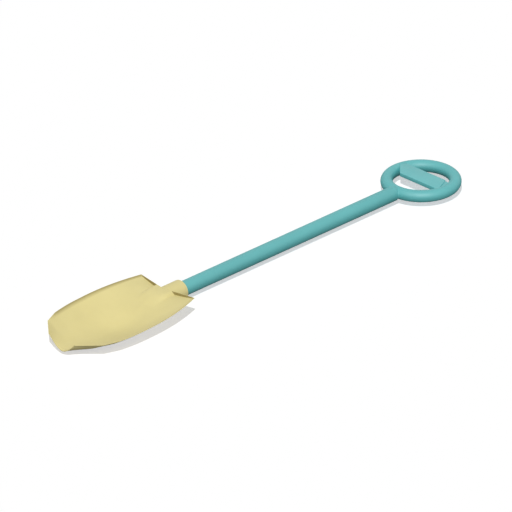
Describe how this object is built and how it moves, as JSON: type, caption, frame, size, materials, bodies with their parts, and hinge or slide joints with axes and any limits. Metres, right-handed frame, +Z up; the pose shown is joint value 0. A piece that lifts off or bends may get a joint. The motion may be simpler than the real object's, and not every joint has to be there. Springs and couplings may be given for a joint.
{
  "type": "sand shovel",
  "caption": "Children's long sand shovel: a bowl-shaped plastic scoop with an open front, a straight round tube and a round ring handle with a flat grip bar.",
  "frame": {"origin": "under the middle of the overall length, on the plane that the scoop's belly rests on", "axes": "+X along the shaft from the scoop to the ring, +Y across the scoop, +Z up out of the open side of the scoop"},
  "size_m": [0.6426, 0.1134, 0.029],
  "materials": {
    "scoop_plastic": "satin pale yellow moulding with a faint grain",
    "shaft_plastic": "satin teal extruded tube",
    "ring_plastic": "satin teal moulding",
    "bar_plastic": "satin teal, a little lighter than the ring",
    "plug_plastic": "matt grey moulding",
    "screw_steel": "zinc-plated steel"
  },
  "bodies": {
    "root": {"scoop_blade": "scoop_plastic", "shaft_tube": "shaft_plastic", "shaft_plug": "plug_plastic", "ring_handle": "ring_plastic", "grip_bar": "bar_plastic", "socket_screw": "screw_steel", "handle_screw": "screw_steel"}
  },
  "joints": []
}
